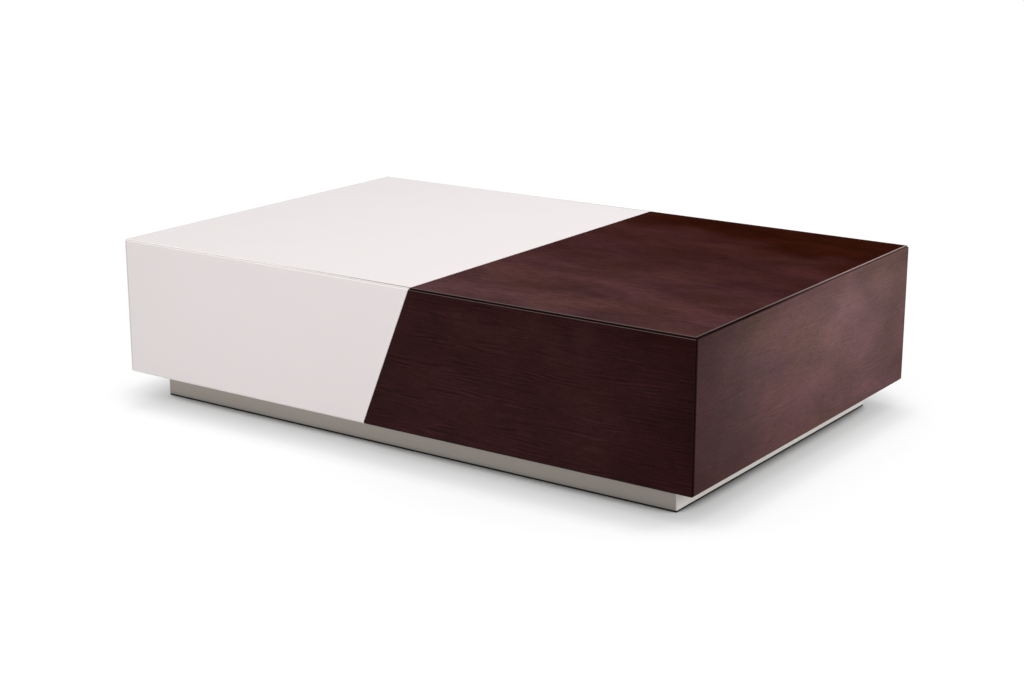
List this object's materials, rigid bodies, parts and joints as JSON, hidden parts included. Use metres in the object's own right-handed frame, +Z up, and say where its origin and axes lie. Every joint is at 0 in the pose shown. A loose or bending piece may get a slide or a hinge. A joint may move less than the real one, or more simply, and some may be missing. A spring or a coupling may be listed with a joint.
{
  "type": "sliding top coffee table",
  "caption": "Low block coffee table in a white and a dark half on a recessed plinth; the white shell slides off on ball runners and opens a storage well.",
  "frame": {"origin": "on the floor under the middle of the closed table", "axes": "+X along the table's length towards the dark end, +Y to the back, +Z up; the table is drawn closed and the white half slides towards -X"},
  "size_m": [1.4, 0.9, 0.35],
  "materials": {
    "plinth_paint": "warm grey satin paint",
    "raw_pine": "planed softwood, unfinished",
    "raw_beech": "planed beech, unfinished",
    "screw_zinc": "bright zinc plate",
    "carcass_veneer": "dark stained oak veneer, satin",
    "grey_felt": "pressed felt",
    "dark_oak_veneer": "dark brown stained oak veneer, satin lacquer",
    "white_lacquer": "gloss off-white lacquer",
    "clear_bumper": "clear soft bumper",
    "black_rubber": "moulded rubber",
    "zinc_steel": "bright zinc plate",
    "cage_steel": "yellow passivated steel",
    "ball_steel": "polished ball steel"
  },
  "bodies": {
    "base": {"plinth_front_rail": "plinth_paint", "plinth_back_rail": "plinth_paint", "plinth_left_rail": "plinth_paint", "plinth_right_rail": "plinth_paint", "plinth_cross_rails": "raw_pine", "plinth_blocks": "raw_pine", "plinth_screws": "screw_zinc", "foot_strips": "black_rubber", "base_panel": "carcass_veneer", "well_front_wall": "carcass_veneer", "well_back_wall": "carcass_veneer", "well_left_wall": "carcass_veneer", "well_partition": "carcass_veneer", "carcass_screws": "screw_zinc", "landing_cleat": "carcass_veneer", "landing_felt": "grey_felt", "dark_top_panel": "dark_oak_veneer", "dark_front_panel": "dark_oak_veneer", "dark_back_panel": "dark_oak_veneer", "dark_end_panel": "dark_oak_veneer", "dark_end_battens": "raw_beech", "dark_side_battens": "raw_beech", "dark_corner_blocks": "raw_beech", "dark_splines": "raw_beech", "seam_bumpers": "clear_bumper", "runner_front_outer": "zinc_steel", "runner_back_outer": "zinc_steel", "runner_wall_screws": "screw_zinc", "runner_stops": "black_rubber"},
    "sliding_top": {"white_top_panel": "white_lacquer", "white_front_panel": "white_lacquer", "white_back_panel": "white_lacquer", "white_end_panel": "white_lacquer", "white_end_batten": "raw_beech", "white_side_battens": "raw_beech", "white_corner_blocks": "raw_beech", "white_splines": "raw_beech", "runner_front_inner": "zinc_steel", "runner_back_inner": "zinc_steel", "runner_hood_screws": "screw_zinc"},
    "front_runner_middle": {"runner_front_middle": "zinc_steel"},
    "back_runner_middle": {"runner_back_middle": "zinc_steel"},
    "front_outer_ball_cage": {"front_outer_cage": "cage_steel", "front_outer_balls": "ball_steel"},
    "front_inner_ball_cage": {"front_inner_cage": "cage_steel", "front_inner_balls": "ball_steel"},
    "back_outer_ball_cage": {"back_outer_cage": "cage_steel", "back_outer_balls": "ball_steel"},
    "back_inner_ball_cage": {"back_inner_cage": "cage_steel", "back_inner_balls": "ball_steel"}
  },
  "joints": [
    {"name": "top_slide", "type": "slide", "parent": "base", "child": "sliding_top", "axis": [-1, 0, 0], "range_m": [0, 0.45]},
    {"name": "front_middle_slide", "type": "slide", "parent": "base", "child": "front_runner_middle", "axis": [-1, 0, 0], "range_m": [0, 0.225]},
    {"name": "front_outer_cage_roll", "type": "slide", "parent": "base", "child": "front_outer_ball_cage", "axis": [-1, 0, 0], "range_m": [0, 0.1125]},
    {"name": "front_inner_cage_roll", "type": "slide", "parent": "base", "child": "front_inner_ball_cage", "axis": [-1, 0, 0], "range_m": [0, 0.3375]},
    {"name": "back_middle_slide", "type": "slide", "parent": "base", "child": "back_runner_middle", "axis": [-1, 0, 0], "range_m": [0, 0.225]},
    {"name": "back_outer_cage_roll", "type": "slide", "parent": "base", "child": "back_outer_ball_cage", "axis": [-1, 0, 0], "range_m": [0, 0.1125]},
    {"name": "back_inner_cage_roll", "type": "slide", "parent": "base", "child": "back_inner_ball_cage", "axis": [-1, 0, 0], "range_m": [0, 0.3375]}
  ],
  "couplings": [
    {"joint": "front_middle_slide", "follows": "top_slide", "ratio": 0.5},
    {"joint": "front_outer_cage_roll", "follows": "top_slide", "ratio": 0.25},
    {"joint": "front_inner_cage_roll", "follows": "top_slide", "ratio": 0.75},
    {"joint": "back_middle_slide", "follows": "top_slide", "ratio": 0.5},
    {"joint": "back_outer_cage_roll", "follows": "top_slide", "ratio": 0.25},
    {"joint": "back_inner_cage_roll", "follows": "top_slide", "ratio": 0.75}
  ]
}
